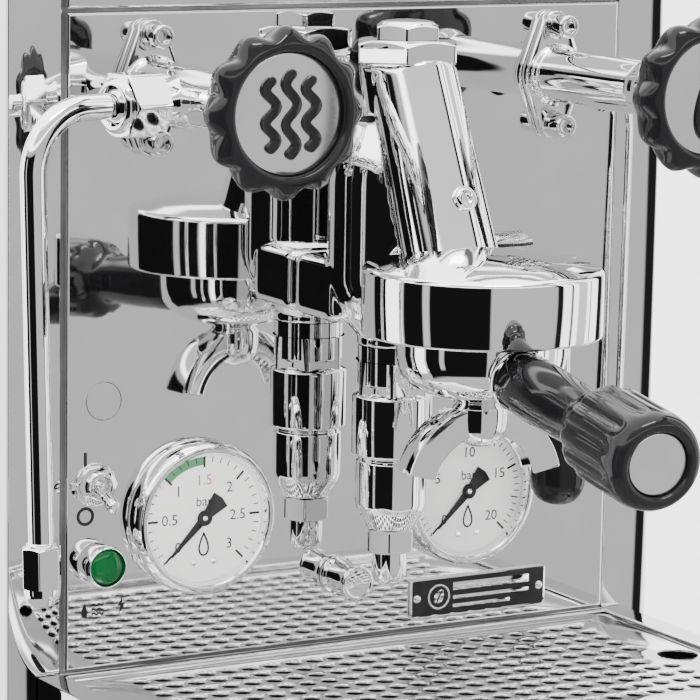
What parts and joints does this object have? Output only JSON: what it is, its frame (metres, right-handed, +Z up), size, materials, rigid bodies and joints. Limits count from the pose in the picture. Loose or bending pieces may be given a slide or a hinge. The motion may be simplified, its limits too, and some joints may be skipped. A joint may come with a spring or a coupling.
{
  "type": "espresso machine",
  "caption": "Espresso machine with a lever group, portafilter, steam and hot-water valves with swinging wands, gauges, drip tray and water tank.",
  "frame": {"origin": "centre of the whole machine's bounding box, on the worktop under its feet", "axes": "+Z up, -Y is the front that the user faces, +X to the user's right"},
  "size_m": [0.3516, 0.5502, 0.415],
  "materials": {
    "mirror_steel": "mirror-polished stainless sheet",
    "dark_steel": "black powder coat",
    "chrome_casting": "chromed brass casting, mirror bright",
    "chrome_turned": "chromed turned brass",
    "bolt_steel": "machined steel",
    "black_bakelite": "glossy black moulded resin",
    "satin_disc": "satin domed disc",
    "black_rubber": "matt rubber",
    "dial_white": "printed white dial",
    "clear_glass": "clear flat glass",
    "needle_black": "matt black",
    "green_lens": "glowing green lens",
    "badge_black": "black enamel with bright rim",
    "boiler_steel": "plain pickled steel",
    "copper_pipe": "plain copper",
    "machine_grey": "grey enamel",
    "clear_plastic": "translucent moulded tank",
    "black_plastic": "matt black moulding"
  },
  "bodies": {
    "machine": {"feet": "black_rubber", "base_pan": "dark_steel", "front_frame": "mirror_steel", "front_panel": "mirror_steel", "top_fascia": "mirror_steel", "front_carrier": "dark_steel", "side_panels": "mirror_steel", "back_panel": "mirror_steel", "cup_tray": "mirror_steel", "cup_rail": "mirror_steel", "group_body": "chrome_casting", "group_cap": "chrome_turned", "group_plugs": "chrome_turned", "group_gasket": "black_rubber", "shower_screen": "bolt_steel", "preinfusion_chamber": "chrome_casting", "discharge_nozzle": "chrome_turned", "valve_bodies": "chrome_casting", "valve_bolts": "bolt_steel", "hex_nuts": "chrome_turned", "gauge_cases": "boiler_steel", "gauge_bezels": "chrome_turned", "gauge_dials": "dial_white", "gauge_glasses": "clear_glass", "switch_body": "chrome_turned", "pilot_housing": "chrome_turned", "pilot_lens": "green_lens", "badge_plate": "badge_black", "boilers": "boiler_steel", "motor_pump": "machine_grey", "pipework": "copper_pipe", "control_box": "machine_grey", "power_inlet": "black_plastic"},
    "brew_lever": {"camshaft": "bolt_steel", "lever_arm": "chrome_turned", "lever_grip": "black_bakelite"},
    "brew_pin": {"brew_valve_pin": "bolt_steel"},
    "portafilter": {"portafilter_body": "chrome_casting", "filter_basket": "bolt_steel", "portafilter_spout": "chrome_casting", "handle_ferrule": "chrome_turned", "portafilter_handle": "black_bakelite", "handle_cap": "satin_disc"},
    "steam_wheel": {"steam_knob": "black_bakelite", "steam_spindle": "satin_disc"},
    "water_wheel": {"water_knob": "black_bakelite", "water_spindle": "satin_disc"},
    "steam_joint": {"steam_ball": "chrome_turned"},
    "steam_pipe": {"steam_wand": "chrome_turned"},
    "water_joint": {"water_ball": "chrome_turned"},
    "water_pipe": {"water_wand": "chrome_turned"},
    "boiler_pointer": {"boiler_needle": "needle_black"},
    "pump_pointer": {"pump_needle": "needle_black"},
    "power_toggle": {"switch_lever": "chrome_turned"},
    "adjuster": {"adjuster_cap": "chrome_turned"},
    "tray": {"drip_tray": "mirror_steel"},
    "grille": {"drip_grille": "mirror_steel"},
    "tank": {"water_tank": "clear_plastic"},
    "lid": {"tank_lid": "mirror_steel"},
    "coupling": {"pump_coupling": "bolt_steel"}
  },
  "joints": [
    {"name": "brew_lever_turn", "type": "hinge", "parent": "machine", "child": "brew_lever", "pos_m": [0, -0.05291, 0.264], "axis": [-1, 0, 0], "range_deg": [0, 80]},
    {"name": "brew_pin_lift", "type": "slide", "parent": "machine", "child": "brew_pin", "axis": [0, 0, 1], "range_m": [0, 0.003]},
    {"name": "portafilter_turn", "type": "hinge", "parent": "machine", "child": "portafilter", "pos_m": [0, -0.12041, 0.244], "axis": [0, 0, 1], "range_deg": [-50, 5]},
    {"name": "steam_valve_turn", "type": "hinge", "parent": "machine", "child": "steam_wheel", "pos_m": [-0.0955, -0.01741, 0.333], "axis": [0, -1, 0], "range_deg": [0, 450]},
    {"name": "water_valve_turn", "type": "hinge", "parent": "machine", "child": "water_wheel", "pos_m": [0.0955, -0.01741, 0.333], "axis": [0, -1, 0], "range_deg": [0, 450]},
    {"name": "steam_wand_swing", "type": "hinge", "parent": "machine", "child": "steam_joint", "pos_m": [-0.12778, -0.06427, 0.331], "axis": [-0.9781, -0.2079, 0], "range_deg": [-15, 75]},
    {"name": "steam_wand_tilt", "type": "hinge", "parent": "steam_joint", "child": "steam_pipe", "pos_m": [-0.12778, -0.06427, 0.331], "axis": [-0.2079, 0.9781, 0], "range_deg": [0, 15]},
    {"name": "water_wand_swing", "type": "hinge", "parent": "machine", "child": "water_joint", "pos_m": [0.12778, -0.06427, 0.331], "axis": [-0.9781, 0.2079, 0], "range_deg": [-15, 75]},
    {"name": "water_wand_tilt", "type": "hinge", "parent": "water_joint", "child": "water_pipe", "pos_m": [0.12778, -0.06427, 0.331], "axis": [-0.2079, -0.9781, 0], "range_deg": [0, 15]},
    {"name": "boiler_needle_turn", "type": "hinge", "parent": "machine", "child": "boiler_pointer", "pos_m": [-0.0678, -0.02341, 0.1565], "axis": [0, 1, 0], "range_deg": [0, 270]},
    {"name": "pump_needle_turn", "type": "hinge", "parent": "machine", "child": "pump_pointer", "pos_m": [0.0592, -0.02341, 0.1565], "axis": [0, 1, 0], "range_deg": [0, 270]},
    {"name": "power_toggle_flip", "type": "hinge", "parent": "machine", "child": "power_toggle", "pos_m": [-0.1174, -0.01941, 0.1733], "axis": [-1, 0, 0], "range_deg": [0, 44]},
    {"name": "adjuster_turn", "type": "hinge", "parent": "machine", "child": "adjuster", "pos_m": [-0.005, -0.01741, 0.125], "axis": [0, -1, 0], "range_deg": [-180, 180]},
    {"name": "drip_tray_slide", "type": "slide", "parent": "machine", "child": "tray", "axis": [0, -1, 0], "range_m": [0, 0.14]},
    {"name": "grille_lift", "type": "slide", "parent": "tray", "child": "grille", "axis": [0, 0, 1], "range_m": [0, 0.02]},
    {"name": "tank_lift", "type": "slide", "parent": "machine", "child": "tank", "axis": [0, 0, 1], "range_m": [0, 0.2]},
    {"name": "tank_lid_lift", "type": "slide", "parent": "tank", "child": "lid", "axis": [0, 0, 1], "range_m": [0, 0.04]},
    {"name": "pump_coupling_spin", "type": "hinge", "parent": "machine", "child": "coupling", "pos_m": [0.07, 0.18259, 0.11], "axis": [0, 1, 0], "continuous": true}
  ],
  "couplings": [
    {"joint": "brew_pin_lift", "follows": "brew_lever_turn", "m_per_rad": 0.0021486}
  ]
}
